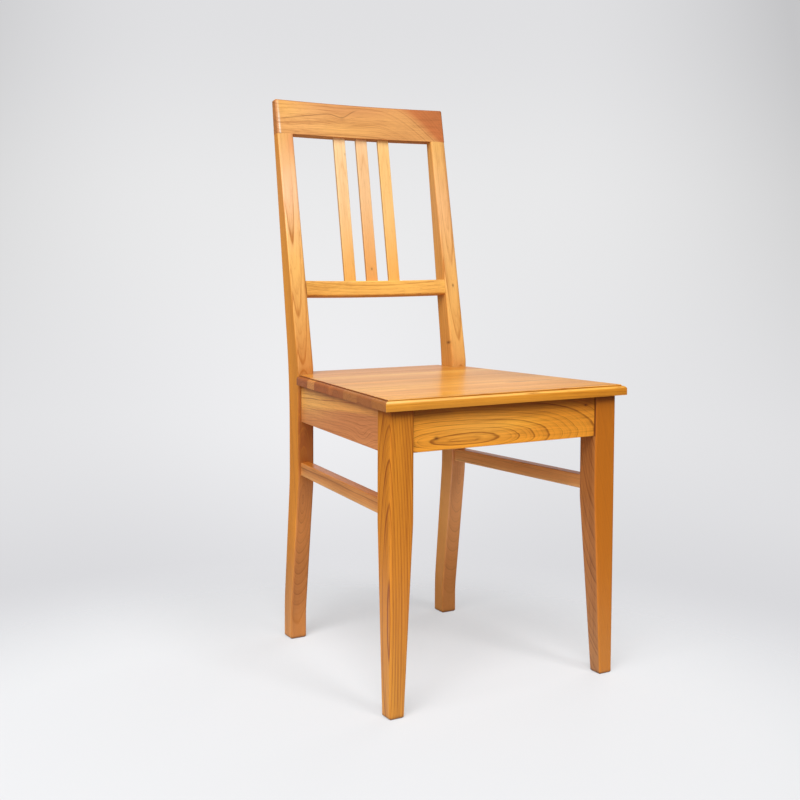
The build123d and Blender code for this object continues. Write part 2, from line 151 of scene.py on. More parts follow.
class Bench:
    """The node tree of a material, of the world or of a modifier."""

    def __init__(self, tree):
        self.tree = tree
        tree.nodes.clear()

    def add(self, kind, settings, sockets):
        """New node: its settings come first, then the value, the wire or the list of wires of each socket."""
        node = self.tree.nodes.new(kind)
        for name, value in settings.items():
            if name == "stops":
                self.set_stops(node.color_ramp, value)
            else:
                setattr(node, name, value)
        for name, value in sockets.items():
            wires = value if isinstance(value, list) else [value]
            for wire in wires:
                if isinstance(wire, Wire):
                    self.tree.links.new(wire.socket, node.inputs[name])
                else:
                    node.inputs[name].default_value = wire
        shown = [socket for socket in node.outputs if socket.enabled]
        return Wire(self, shown[0]) if shown else None

    def set_stops(self, ramp, stops):
        """Give a ramp its stops: pairs of a place and a grey level or a colour."""
        ramp.interpolation = "EASE"
        while len(ramp.elements) < len(stops):
            ramp.elements.new(1.0)
        for element, (place, level) in zip(ramp.elements, stops):
            element.position = place
            element.color = level if isinstance(level, tuple) else (level, level, level, 1.0)

    def math(self, operation, first, second=0.0):
        return self.add("ShaderNodeMath", {"operation": operation}, {0: first, 1: second})

    def vector(self, operation, sockets):
        return self.add("ShaderNodeVectorMath", {"operation": operation}, dict(enumerate(sockets)))

    def step(self, value, low, high):
        """Smooth step from 0 at low to 1 at high."""
        settings = {"interpolation_type": "SMOOTHSTEP"}
        return self.add("ShaderNodeMapRange", settings, {0: value, 1: low, 2: high})

    def mix(self, first, second, factor, blend="MIX"):
        """Two colours mixed: sockets 6 and 7 of the node are its colours."""
        settings = {"data_type": "RGBA", "blend_type": blend}
        return self.add("ShaderNodeMix", settings, {0: factor, 6: first, 7: second})

    def ramp(self, value, stops):
        return self.add("ShaderNodeValToRGB", {"stops": stops}, {0: value})

    def noise(self, place, stretch, seed):
        """Noise between 0 and 1 whose cells are as many to the metre as stretch says."""
        offset = tuple(seed * step for step in SEED_STEPS)
        spread = self.vector("MULTIPLY_ADD", (place, stretch, offset))
        return self.add("ShaderNodeTexNoise", {}, {"Vector": spread, "Scale": 1.0, "Detail": 2.0})


def stain(red, green, blue):
    """Linear colour from the 0 to 255 levels that a screen shows, by the sRGB curve."""
    shares = [level / 255 for level in (red, green, blue)]
    levels = [share / 12.92 if share <= 0.04045 else ((share + 0.055) / 1.055) ** 2.4 for share in shares]
    return (*levels, 1.0)


print("wires and benches ready")

# %% [markdown]
# ## Solid wood
# Veneer could be painted on with a flat pattern, but these pieces are solid, and their faces, edges and end
# grain have to agree. So each piece is cut out of a tree: yearly rings are cylinders round a pith line, and
# a face shows whatever rings it cuts. A pith that bows away from the face on both sides of one place gives
# the closed ovals and the pointed arches of flat-sawn boards, and a pith far to the side gives straight
# stripes.

# %% How a piece was cut from its tree
UP = (0, 0, 1)
DOWN = (0, 0, -1)
FRONT = (0, -1, 0)
LEFT = (-1, 0, 0)
RIGHT = (1, 0, 0)
END_BROWN = stain(186, 112, 52)


class Plank:
    """Place of one piece in its tree. Lengths in metres, from the middle of the piece."""

    depth = 0.05       # from the middle of the piece back to the pith
    offset = 0.0       # pith to the side of the middle
    lean = 0.0         # change of depth along the grain
    drift = 0.0        # change of offset along the grain
    bow = 0.0          # how fast the pith bows away from the eye
    eye = 0.0          # place along the grain where the pith is nearest
    curl = 0.0         # how fast the rings bend aside beyond the eye
    ring = 0.0045      # width of a yearly ring
    phase = 0.0        # years added to the count of rings
    uneven = 1.5       # how much the widths of the rings differ
    least = 0.2        # darkness of the faintest ring, as a share of the boldest
    contrast = 0.6     # darkness of late wood
    sway = 0.002       # waviness of the rings
    flush = 0.3        # share of the flushed colour, in clouds
    heart = None       # sides of the pith between which the flush grows to full
    fade = None        # places along the grain between which the flush grows to full
    knots = ()         # (place in the chair, radius, push on the rings, darkness) of each knot
    vein = None        # a single dark line: see vein_shade
    patches = ()       # (centre in the chair, reach, colour, share) of each cloud of stain, painted light or painted shade
    sides = ()         # (direction, colour, share) of each side coloured otherwise: stain, or painted light and shade
    calm = ()          # (centre in the chair, reach, share) of each place with a faint figure
    marks = ()         # (centre in the chair, reach, tint) of each darker, paler or warmer place
    seams_and_shade = ()         # (lowest corner, highest corner, colour, share) of each box with its own stain or painted shade
    ends = END_BROWN   # colour of the end grain

    def __init__(self, node, grain, face, tones, seed, **cut):
        low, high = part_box(node)
        self.node = node
        self.middle = (low + high) / 2
        self.grain = Vector(grain).normalized()
        self.across = Vector(face).cross(self.grain).normalized()
        self.face = self.grain.cross(self.across)
        self.tones = tones   # pale, deep and flushed colours of the wood
        self.seed = seed
        for name, value in cut.items():   # what differs from the values above
            setattr(self, name, value)

    def turn(self):
        """Axes of the piece: across, out of the face, along the grain."""
        return Matrix((self.across, self.face, self.grain)).transposed()


def in_chair(bench):
    """Place in the chair."""
    return bench.add("ShaderNodeTexCoord", {}, {}).output("Object")


def in_tree(bench, plank):
    """Place in the piece's own axes."""
    sockets = {"Vector": in_chair(bench), "Location": plank.middle, "Rotation": plank.turn().to_euler()}
    return bench.add("ShaderNodeMapping", {"vector_type": "TEXTURE"}, sockets)


def split(bench, place):
    """The three parts of a place or a direction."""
    parts = bench.add("ShaderNodeSeparateXYZ", {}, {0: place})
    return parts, parts.output("Y"), parts.output("Z")


print("trees ready to saw")

# %% [markdown]
# ## Yearly rings
# A year's growth starts as pale early wood, darkens to late wood and stops short. A wave texture would draw
# even lines, but real rings sway, differ in width and hold finer lines. So the distance from the pith is
# counted in years, the count is bent by slow noise, and its fraction is looked up in the profile of one
# year.

# %% Rings and streaks
SWAY_CELLS = (16, 16, 3.5)       # cells of noise to the metre: across, out of the face and along the grain
RIPPLE_CELLS = (80, 80, 12)
SWAY_SHARE = 2.0
RIPPLE_SHARE = 0.4
UNEVEN_CELLS = 0.6               # cells of noise to the year
RING_PROFILE = [(0.0, 0.45), (0.06, 0.04), (0.45, 0.06), (0.84, 0.36), (0.95, 1.0), (1.0, 0.45)]
FINE_RINGS = 3.0                 # fine lines to the year
FINE_STRENGTH = 0.35
FINE_LEVEL = 0.25                # mean darkness of the ring profile
GRAIN_STREAKS = ((60, 1.6, 0.9), (240, 5, 0.8), (520, 12, 0.7), (1200, 30, 0.6))
STREAK_SEED = 0.37               # from one kind of streak to the next


def rings(bench, plank, place, push):
    """Number of yearly rings between the pith and each point, and the side of the pith it is on."""
    across, outward, along = split(bench, place)
    sway = (bench.noise(place, SWAY_CELLS, plank.seed) - 0.5) * (SWAY_SHARE * plank.sway)
    ripple = (bench.noise(place, RIPPLE_CELLS, plank.seed + 1) - 0.5) * (RIPPLE_SHARE * plank.sway)
    from_eye = along - plank.eye
    beyond = bench.math("MAXIMUM", from_eye, 0.0)
    back = outward + plank.depth + plank.lean * along + plank.bow * (from_eye * from_eye)
    side = across - plank.offset - plank.drift * along + plank.curl * (beyond * beyond)
    radius = bench.math("SQRT", side * side + back * back) + sway + ripple + push
    years = radius / plank.ring
    sockets = {"W": years * UNEVEN_CELLS, "Scale": 1.0}
    uneven = bench.add("ShaderNodeTexNoise", {"noise_dimensions": "1D"}, sockets)
    return years + plank.phase + uneven * plank.uneven, side + sway


def late_wood(bench, plank, count):
    """Darkness of the rings: it grows through each year, stops at its end and has finer lines within."""
    profile = bench.ramp(bench.math("FRACT", count), RING_PROFILE)
    fine = bench.ramp(bench.math("FRACT", count * FINE_RINGS), RING_PROFILE) - FINE_LEVEL
    year = bench.math("FLOOR", count) + plank.seed
    strength = bench.add("ShaderNodeTexWhiteNoise", {"noise_dimensions": "1D"}, {"W": year})
    return profile * (strength * (1 - plank.least) + plank.least) + fine * FINE_STRENGTH


def grain_shade(bench, plank, place):
    """Streaks along the grain about zero: how many to the metre across and along, and how strong."""
    shade = 0.0
    for number, (across, along, strength) in enumerate(GRAIN_STREAKS):
        streak = bench.noise(place, (across, across, along), plank.seed + 2 + STREAK_SEED * number)
        shade = shade + (streak - 0.5) * strength
    return shade


print(f"rings of {len(RING_PROFILE)} stops and {len(GRAIN_STREAKS)} kinds of streak")

# %% [markdown]
# ## Knots, veins and stain
# Pin knots push the rings aside, a vein draws one dark line, and the stain took darker or paler in places.
# Painted light and shade are laid on in the same way.
# Such spots could be painted on each face by hand. Here each one is a soft ball, box or line at a place in
# the chair, so it goes right into the wood and meets itself on every face that it reaches.

# %% Knots, veins and clouds
KNOT_DEPTH = 4.0            # a knot's reach into the board and along it, in radii
KNOT_LENGTH = 1.6
KNOT_FADE = 0.9             # how fast a knot's darkness falls off
SWIRL_FADE = 0.04           # how fast its push on the rings falls off
VEIN_WIDTH = 0.0010
FLUSH_CELLS = (9, 9, 2.5)
FLUSH_STEP = (0.45, 0.75)   # levels of the noise between which the flush sets in
RAGGED_CELLS = (45, 45, 45)
SEAM_SOFTNESS = 0.0004


def knot_shade(bench, plank, place):
    """Darkness of all pin knots, and how far they push the rings aside."""
    shade = 0.0
    push = 0.0
    for centre, radius, swirl, dark in plank.knots:
        local = plank.turn().transposed() @ (Vector(centre) - plank.middle)
        reach = Vector((1, 1 / KNOT_DEPTH, 1 / KNOT_LENGTH)) / radius
        gap = bench.vector("MULTIPLY", (bench.vector("SUBTRACT", (place, local)), reach))
        square = bench.vector("DOT_PRODUCT", (gap, gap))
        shade = shade + bench.math("EXPONENT", square * -KNOT_FADE) * dark
        push = push + bench.math("EXPONENT", square * -SWIRL_FADE) * swirl
    return shade, push


def vein_shade(bench, plank, place):
    """Darkness of a line that rises along the grain, dips once beside a knot and runs out at both ends."""
    height, rise, dip, knot, spread, start, end = plank.vein
    across, _, along = split(bench, place)
    bend = (along - knot) / spread
    line = height + rise * along - dip * bench.math("EXPONENT", bend * bend * -1)
    gap = (across - line) / VEIN_WIDTH
    inside = bench.step(along, start, start + spread) * bench.step(along, end, end - spread)
    return bench.math("EXPONENT", gap * gap * -1) * inside


def flush_share(bench, plank, place, side):
    """Share of the flushed colour: clouds, heartwood on one side of a ring, a fade along the grain."""
    share = bench.step(bench.noise(place, FLUSH_CELLS, plank.seed + 3), *FLUSH_STEP) * plank.flush
    if plank.heart:
        share = bench.math("MAXIMUM", share, bench.step(side, *plank.heart))
    if plank.fade:
        _, _, along = split(bench, place)
        share = bench.math("MAXIMUM", share, bench.step(along, *plank.fade))
    return share


def patch_share(bench, plank, centre, reach):
    """How much of a cloud of stain or painted light and shade lies at each point: full at its centre, with a
    ragged edge.
    """
    place = in_chair(bench)
    gap = bench.vector("DIVIDE", (bench.vector("SUBTRACT", (place, centre)), reach))
    ragged = bench.noise(place, RAGGED_CELLS, plank.seed + 4) + 0.5
    return bench.math("EXPONENT", bench.vector("DOT_PRODUCT", (gap, gap)) * ragged * -1)


def seam_share(bench, low, high):
    """1 inside the box between two corners, 0 outside it."""
    inside = 1.0
    for axis, value in enumerate(split(bench, in_chair(bench))):
        inside = inside * bench.step(value, low[axis] - SEAM_SOFTNESS, low[axis])
        inside = inside * bench.step(value, high[axis] + SEAM_SOFTNESS, high[axis])
    return inside


print(f"knots reach {KNOT_DEPTH} radii into the board")

# %% [markdown]
# ## The colour of the wood
# Colour builds up in layers: pale early wood with its flush, stain and painted light and shade in clouds
# and on single sides, the figure of rings and streaks, and last the marks, some of them painted light and
# shade. One long chain of mixes could do it all, but three short functions, each on top of the one before,
# are easier to follow.

# %% Colour
PORE_BROWN = stain(112, 58, 22)
KNOT_BROWN = stain(84, 40, 20)
# dark brown of end-grain rings, also laid on as painted shade in narrow gaps
GRAIN_AND_SHADE_BROWN = stain(104, 54, 20)
PORE_SHARE = 0.22
SQUARE_ON = (0.8, 0.97)      # how squarely a side has to face its direction
FIGURE_STEP = (-0.35, 1.1)   # figure at which the wood is all pale, and all deep
END_STEP = (0.1, 0.4)        # how squarely a surface cuts the grain, from a side to an end
END_SHARE = 0.85
END_RINGS = 0.5              # strength of the rings on end grain
END_FIGURE = 0.3             # and of the whole figure
KNOT_LIMIT = 0.9
VEIN_SHARE = 0.45


def facing(bench, direction):
    """How squarely a surface faces a direction, from -1 to 1."""
    normal = bench.add("ShaderNodeTexCoord", {}, {}).output("Normal")
    return bench.vector("DOT_PRODUCT", (normal, direction))


def stained(bench, plank, flush):
    """Early wood with its flush, and with the stain or the painted light and shade of each cloud and side."""
    pale, _, flushed = plank.tones
    colour = bench.mix(pale, flushed, flush)
    for centre, reach, tone, share in plank.patches:
        colour = bench.mix(colour, tone, patch_share(bench, plank, centre, reach) * share)
    for direction, tone, share in plank.sides:
        colour = bench.mix(colour, tone, bench.step(facing(bench, direction), *SQUARE_ON) * share)
    return colour


def figured(bench, plank, colour, late, streaks):
    """The same with late wood and streaks, and with end grain where the piece was cut across."""
    _, deep, _ = plank.tones
    figure = late * plank.contrast + streaks
    for centre, reach, share in plank.calm:
        figure = figure * (1 - patch_share(bench, plank, centre, reach) * share)
    dark = bench.step(figure, *FIGURE_STEP)
    end = bench.mix(plank.ends, GRAIN_AND_SHADE_BROWN, late * END_RINGS + dark * END_FIGURE)
    on_end = bench.step(bench.math("ABSOLUTE", facing(bench, plank.grain)), *END_STEP)
    return bench.mix(bench.mix(colour, deep, dark), end, on_end * END_SHARE)


def marked(bench, plank, colour, place, pore, knot):
    """The same with marks, pores, knots, the vein, and boxes of their own stain or painted shade."""
    for centre, reach, tint in plank.marks:
        colour = bench.mix(colour, (*tint, 1.0), patch_share(bench, plank, centre, reach), "MULTIPLY")
    colour = bench.mix(colour, PORE_BROWN, pore * PORE_SHARE)
    if plank.knots:
        colour = bench.mix(colour, KNOT_BROWN, bench.math("MINIMUM", knot, KNOT_LIMIT))
    if plank.vein:
        colour = bench.mix(colour, KNOT_BROWN, vein_shade(bench, plank, place) * VEIN_SHARE)
    for low, high, tone, share in plank.seams_and_shade:
        colour = bench.mix(colour, tone, seam_share(bench, low, high) * share)
    return colour


print("colours ready to mix")

# %% [markdown]
# ## Lacquer
# The chair has a thin satin lacquer, which its undersides lack. A plain gloss over the colour would look
# like plastic, so the same streaks, pores and rings that tint the wood also roughen its lacquer and give it a
# slight relief.

# %% Lacquered wood
PORE_CELLS = (1500, 1500, 60)
PORE_STEP = (0.60, 0.72)     # levels of the noise between which a pore opens
LACQUER = {"Specular IOR Level": 0.3, "Coat Roughness": 0.16}
COAT = 0.15
LACQUER_ROUGHNESS = 0.36
STREAK_ROUGHNESS = 0.08
PORE_ROUGHNESS = 0.1
RAW_ROUGHNESS = 0.5          # added where there is no lacquer
RELIEF = {"Strength": 0.12, "Distance": 0.0003}
STREAK_RELIEF = 0.5
PORE_RELIEF = 0.6
RING_RELIEF = 0.3


def new_material(name):
    """New material, and the bench that its shader is built on."""
    material = bpy.data.materials.new(name)
    material.use_nodes = True
    return material, Bench(material.node_tree)


def wood(plank):
    """Lacquered solid wood for one piece."""
    material, bench = new_material(f"{plank.node}_wood")
    place = in_tree(bench, plank)
    knot, push = knot_shade(bench, plank, place)
    count, side = rings(bench, plank, place, push)
    late = late_wood(bench, plank, count)
    streaks = grain_shade(bench, plank, place)
    pore = bench.step(bench.noise(place, PORE_CELLS, plank.seed + 5), *PORE_STEP)
    colour = stained(bench, plank, flush_share(bench, plank, place, side))
    colour = figured(bench, plank, colour, late, streaks)
    raw = bench.step(facing(bench, DOWN), *SQUARE_ON)   # undersides have no lacquer
    height = streaks * STREAK_RELIEF - pore * PORE_RELIEF - late * RING_RELIEF
    roughness = LACQUER_ROUGHNESS + streaks * STREAK_ROUGHNESS + pore * PORE_ROUGHNESS + raw * RAW_ROUGHNESS
    surface = {
        **LACQUER,
        "Base Color": marked(bench, plank, colour, place, pore, knot),
        "Roughness": roughness,
        "Coat Weight": (1 - raw) * COAT,
        "Normal": bench.add("ShaderNodeBump", {}, {**RELIEF, "Height": height}),
    }
    shader = bench.add("ShaderNodeBsdfPrincipled", {}, surface)
    bench.add("ShaderNodeOutputMaterial", {}, {"Surface": shader})
    return material


def dress(*planks):
    """Put the wood of each piece on its CAD node."""
    for plank in planks:
        material = wood(plank)
        for slot in nodes[plank.node].material_slots:
            slot.link = "OBJECT"
            slot.material = material


print("lacquer ready")

# %% [markdown]
# ## Tones
# The chair is stained honey-orange, but no two pieces took the stain alike. The slats came out palest, the
# posts and the crest peach, the legs and aprons deep orange. A tone is three colours: early wood, late wood
# and the flush that drifts over a board. They are written as a screen shows them.

# %% Tones of the stain
def board(*colours):
    """Tones of one board, from the levels that a screen shows."""
    return tuple(stain(*levels) for levels in colours)


SLAT_TONE = board((249, 208, 154), (205, 141, 67), (236, 174, 90))
PINK_SLAT_TONE = board((241, 195, 142), (208, 142, 80), (230, 162, 86))
GOLD_SLAT_TONE = board((250, 203, 134), (214, 150, 68), (239, 176, 90))
# its flushed colour is also the painted shade of the rear legs below the seat, by their fade
POST_TONE = board((238, 182, 100), (178, 108, 42), (190, 122, 60))
CREST_TONE = board((234, 172, 100), (152, 84, 34), (204, 118, 62))
RAIL_TONE = board((240, 181, 90), (168, 100, 34), (231, 166, 86))
HONEY_TONE = board((243, 159, 49), (128, 63, 16), (226, 138, 38))
LEG_TONE = board((206, 129, 36), (138, 66, 14), (194, 115, 30))
RIGHT_LEG_TONE = board((196, 113, 26), (109, 55, 13), (185, 102, 23))
SIDE_TONE = board((254, 180, 92), (152, 76, 30), (214, 138, 80))
LEFT_BAR_TONE = board((214, 142, 76), (142, 84, 38), (200, 126, 68))
BAR_TONE = board((226, 157, 90), (152, 94, 48), (208, 138, 80))
SEAT_TONES = (   # stave by stave from the front, each with the tone of its end grain
    board((250, 174, 50), (160, 86, 10), (238, 154, 44), (156, 90, 44)),
    board((246, 171, 63), (168, 96, 22), (234, 152, 55), (144, 75, 38)),
    board((248, 180, 74), (172, 102, 28), (236, 160, 62), (162, 93, 45)),
    board((232, 161, 63), (160, 92, 24), (220, 144, 54), (146, 68, 28)),
    board((224, 153, 56), (156, 88, 22), (212, 136, 46), (154, 72, 29)),
    board((238, 175, 78), (164, 98, 30), (226, 156, 64), (206, 130, 66)),
    board((220, 147, 56), (150, 83, 22), (206, 131, 48), (156, 75, 30)),
    board((215, 143, 59), (153, 85, 28), (205, 128, 51), (130, 65, 36)),
)
print(f"{len(SEAT_TONES)} seat tones")

# %% [markdown]
# ## The aprons
# The front apron is the showpiece board: flat-sawn, with an oval eye left of the middle and arches that open
# to the right. The arches could be drawn one by one, but a pith that lies just behind the face and bows away
# on both sides of the eye gives them all. The side aprons are plainer: gold above one long wave of a ring,
# brown below it.

# %% Aprons
ACROSS = RIGHT                                                # grain from side to side
SIDE_RUN = {"left": (0.109, 1, 0), "right": (-0.109, 1, 0)}   # the side rails slant in plan
SWIRL_SIDE = {"left": -0.190, "right": 0.190}                 # a swirl on the face of each side apron
REAR_LEG_FRONT = 0.134                                        # at the aprons
apron_low, apron_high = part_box("front_apron")


def on_apron(x, z):
    """Place on the face of the front apron."""
    return (x, apron_low.y, z)


front_apron = Plank(
    "front_apron", ACROSS, FRONT, HONEY_TONE, seed=1, depth=0.010, offset=-0.019, drift=-0.02, bow=0.60,
    eye=-0.070, ring=0.004, phase=0.85, contrast=0.85, sway=0.005,
    patches=(
        (on_apron(0, 0.441), (0.5, 0.1, 0.016), stain(124, 72, 26), 0.9),   # painted shadow of the seat's overhang
        (on_apron(0.13, 0.392), (0.07, 0.1, 0.02), stain(240, 158, 50), 0.6),   # gold at the lower right
        (on_apron(-0.05, 0.405), (0.08, 0.1, 0.02), stain(238, 176, 82), 0.5),   # pale at the eye
    ),
    knots=((on_apron(-0.124, 0.3945), 0.0024, 0.0, 0.8), (on_apron(0.146, 0.4258), 0.0016, 0.0, 0.9)),
    calm=((on_apron(0.14, 0.41), (0.05, 1, 1), 0.3),),
    marks=(
        (on_apron(0.025, 0.407), (0.045, 1, 0.010), (1.14, 1.25, 1.25)),   # paler among the arches
        (on_apron(-0.145, 0.430), (0.025, 1, 0.010), (0.80, 0.78, 0.80)),   # painted shade in both upper corners, under the seat
        (on_apron(0.148, 0.430), (0.025, 1, 0.010), (0.80, 0.66, 0.60)),
    ),
)
rear_apron = Plank("rear_apron", ACROSS, FRONT, BAR_TONE, seed=2, depth=0.03, offset=0.02, bow=0.3, eye=0.05)
side_aprons = [
    Plank(
        f"side_apron_{side}", run, LEFT, SIDE_TONE, seed=3 + number, depth=0.02, offset=0.09, drift=0.078,
        contrast=1.1, sway=0.007, heart=(-0.1005, -0.0925),
        knots=(((SWIRL_SIDE[side], -0.13, 0.385), 0.004, 0.012, 0.0),),   # a swirl without a dark core
        patches=(
            ((0, 0.1, 0.42), (1, 0.08, 0.025), stain(255, 196, 108), 0.6),   # pale near the back
            ((0, 0, 0.438), (1, 1, 0.009), stain(132, 72, 34), 0.9),   # painted shadow of the seat's overhang
            ((0, REAR_LEG_FRONT, 0.41), (1, 0.0016, 1), GRAIN_AND_SHADE_BROWN, 0.8),   # painted shade along the rear leg
        ),
    )
    for number, (side, run) in enumerate(SIDE_RUN.items())
]
dress(front_apron, rear_apron, *side_aprons)
print("four aprons cut")

# %% [markdown]
# ## The front legs
# A front leg is one square stick. Its front is quarter-sawn, with close straight stripes. A stripe texture
# would do for that one face, but the left leg's bowed rings just reach its outer corner, where pointed
# arches stand astride the edge and one closes to a slim loop. Rings that go through the leg make both faces
# meet there.

# %% Front legs
UNDER_SEAT_SHADE = ((0, -0.21, 0.438), (1, 1, 0.008), stain(120, 64, 26), 0.9)   # painted shadow under the seat
BOUNCE_LIT_FOOT = ((0, -0.21, 0), (1, 1, 0.13), (0.96, 1.12, 1.45))              # painted light from the white floor, paler and bluer towards it
FOOT_EDGE_SHADE = ((0, 0, 0), (1, 1, 0.0034), (0.32, 0.28, 0.26))                # painted shade on the chamfer where it stands
GAP_HALF = 0.0005        # half the line of painted shade between the front apron and the right leg
EDGE_ROUND = 0.0012      # it starts behind the rounded edge of the leg
leg_low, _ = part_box("front_leg_right")
# painted shade on the strip of the leg beside the set-back apron
APRON_GAP_SHADE = (
    Vector((leg_low.x - GAP_HALF, leg_low.y + EDGE_ROUND, apron_low.z)),
    Vector((leg_low.x + GAP_HALF, apron_low.y, apron_high.z)),
    GRAIN_AND_SHADE_BROWN,
    0.85,
)
left_leg = Plank(
    "front_leg_left", UP, RIGHT, LEG_TONE, seed=6, depth=0.064, offset=0.0193, bow=0.2, eye=-0.078,
    ring=0.0047, phase=0.23, uneven=0.0, least=0.6, contrast=0.9, sway=0.0008,
    patches=(UNDER_SEAT_SHADE,), marks=(BOUNCE_LIT_FOOT, FOOT_EDGE_SHADE),
)
right_leg = Plank(
    "front_leg_right", UP, LEFT, RIGHT_LEG_TONE, seed=7, offset=-0.03, lean=-0.25, least=0.4, contrast=0.9,
    patches=(UNDER_SEAT_SHADE,), marks=(BOUNCE_LIT_FOOT, FOOT_EDGE_SHADE), seams_and_shade=(APRON_GAP_SHADE,),
    sides=((LEFT, stain(168, 108, 58), 0.85),), calm=(((0, leg_low.y, 0.2), (1, 0.005, 1), 0.85),),
)
dress(left_leg, right_leg)
print("two front legs cut")

# %% [markdown]
# ## The rear legs
# A rear leg is sawn in one bent piece from a wide plank. Its post nearly follows the grain and shows long
# arches, while the foot cuts across it and shows slanting lines. Grain could be bent along the leg, as in
# steamed wood, but a straight pith through the bent piece is how a sawn leg looks.

# %% Rear legs
REAR_GRAIN = (0, 0.14, 1)
POST_SIDE = 0.153        # from the middle of the chair to the middle of a post
# the fade to the flushed colour down the leg is painted shade, darkest below the seat
left_post = Plank(
    "rear_leg_left", REAR_GRAIN, FRONT, POST_TONE, seed=8, depth=-0.032, offset=0.0045, lean=0.05, bow=0.07,
    eye=0.40, ring=0.004, phase=0.53, uneven=0.0, least=0.5, contrast=0.9, sway=0.0015, fade=(0.24, -0.06),
    sides=((LEFT, stain(221, 142, 50), 0.85),), calm=(((-POST_SIDE, 0.2, 0.82), (1, 1, 0.09), 0.75),),
    patches=(
        ((-POST_SIDE, 0.2, 0.76), (0.1, 0.1, 0.07), stain(254, 202, 158), 0.85),   # painted sheen on the upper post
        ((-0.142, 0.2, 0.845), (0.010, 0.1, 0.022), stain(236, 150, 104), 0.6),   # pink below the crest
        ((-POST_SIDE, 0.14, 0.36), (0.1, 0.03, 0.06), stain(140, 70, 30), 0.9),   # painted shade below the apron
    ),
    marks=(
        ((-0.167, 0.18, 0.07), (0.012, 0.02, 0.12), (0.72, 0.74, 0.88)),   # darker outside of the foot
        ((-POST_SIDE, 0.13, 0.30), (0.02, 0.012, 0.03), (0.84, 0.78, 0.70)),   # darker at the stretcher
        ((-POST_SIDE, 0.14, 0.19), (0.02, 0.02, 0.04), (1.18, 1.20, 1.15)),   # paler below it
        FOOT_EDGE_SHADE,
    ),
)
# the fade to the flushed colour down the leg is painted shade, darkest below the seat
right_post = Plank(
    "rear_leg_right", REAR_GRAIN, FRONT, POST_TONE, seed=9, depth=-0.030, offset=-0.003, lean=0.05, bow=0.05,
    eye=0.40, phase=0.6, uneven=0.0, contrast=0.7, sway=0.0015, fade=(0.16, -0.10),
    sides=((LEFT, stain(214, 144, 62), 0.5),), calm=(((POST_SIDE, 0.14, 0.2), (1, 1, 0.13), 0.8),),
    patches=(
        ((POST_SIDE, 0.14, 0.26), (0.1, 0.05, 0.12), stain(216, 154, 106), 0.9),   # dull below the seat
        ((POST_SIDE, 0.2, 0.74), (0.1, 0.1, 0.09), stain(244, 188, 134), 0.7),   # painted sheen on the upper post
    ),
    marks=(
        ((0.15, 0.15, 0.2), (1, 1, 0.10), (1.38, 1.52, 1.65)),   # paler below the stretcher
        ((0.138, 0.18, 0.50), (0.006, 0.018, 0.06), (0.84, 0.74, 0.62)),   # darker inside the post
        FOOT_EDGE_SHADE,
    ),
    knots=(((0.1544, 0.158, 0.600), 0.0016, 0.001, 0.9), ((0.1382, 0.148, 0.498), 0.0014, 0.0008, 0.8)),
)
dress(left_post, right_post)
print("two rear legs cut")

# %% [markdown]
# ## The crest and the back rail
# The crest's grain runs across in long waves, with a dip where a branch once grew, and drops away towards
# its redder right end. Two boards could be blended for that end, but one board whose rings curl down beyond
# its middle, with heartwood outside one ring, is simpler and truer. The back rail is straight-grained, paler
# along its middle.

# %% Crest and back rail
LEANING = (0, -0.98, 0.19)   # normal of the faces that lean back
CREST_DEPTH = 0.21           # the crest is about this far behind the middle of the chair
CREST_VEIN = (0.0225, 0.16, 0.0100, -0.038, 0.018, -0.165, -0.002)   # see vein_shade
crest_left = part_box("crest_rail")[0].x


def on_crest(x, z):
    """Place in the crest rail."""
    return (x, CREST_DEPTH, z)


crest = Plank(
    "crest_rail", ACROSS, LEANING, CREST_TONE, seed=10, depth=0.03, offset=-0.06, eye=0.02, curl=4.3,
    ring=0.007, contrast=0.7, sway=0.005, heart=(0.090, 0.120), ends=stain(186, 112, 54), vein=CREST_VEIN,
    knots=(((-0.038, 0.2150, 0.892), 0.003, 0.007, 0.2),),
    calm=((on_crest(0.075, 0.88), (0.035, 1, 1), 0.5),),
    patches=(
        (on_crest(-0.150, 0.905), (0.04, 0.1, 0.02), stain(252, 190, 92), 0.45),   # gold upper left
        (on_crest(-0.02, 0.912), (0.09, 0.1, 0.018), stain(212, 146, 92), 0.7),   # dull above the vein
        (on_crest(-0.06, 0.872), (0.1, 0.1, 0.014), stain(250, 190, 104), 0.3),   # pale below it
        (on_crest(crest_left + 0.0045, 0.89), (0.0016, 0.009, 1), stain(255, 232, 200), 0.95),   # painted highlight on the rounded left edge
    ),
    sides=(
        ((-0.7, -0.7, 0.1), stain(255, 224, 180), 0.9),   # painted highlight on the rounded left corner
        ((0, -0.19, -0.98), stain(228, 156, 90), 0.9),   # underside
        ((0, -0.5, 0.86), stain(160, 96, 48), 0.7),   # upper edge
    ),
    marks=(
        (on_crest(-0.125, 0.885), (0.06, 1, 0.035), (1.10, 1.17, 1.35)),   # paler at the left
        (on_crest(0.08, 0.863), (0.09, 1, 0.020), (0.86, 0.80, 0.78)),   # darker low at the right
        (on_crest(0.15, 0.905), (0.04, 1, 0.020), (0.84, 0.85, 0.82)),   # and at the right end
    ),
)
back_rail = Plank(
    "back_rail", ACROSS, LEANING, RAIL_TONE, seed=11, depth=0.03, offset=0.05,
    marks=(
        ((0, 0.165, 0.602), (0.085, 1, 0.010), (1.12, 1.20, 1.22)),   # paler in the middle
        *(((x, 0.16, 0.586), (0.03, 1, 0.006), (0.84, 0.72, 0.60)) for x in (-0.125, 0.125)),   # darker ends
    ),
)
dress(crest, back_rail)
print("crest and back rail cut")
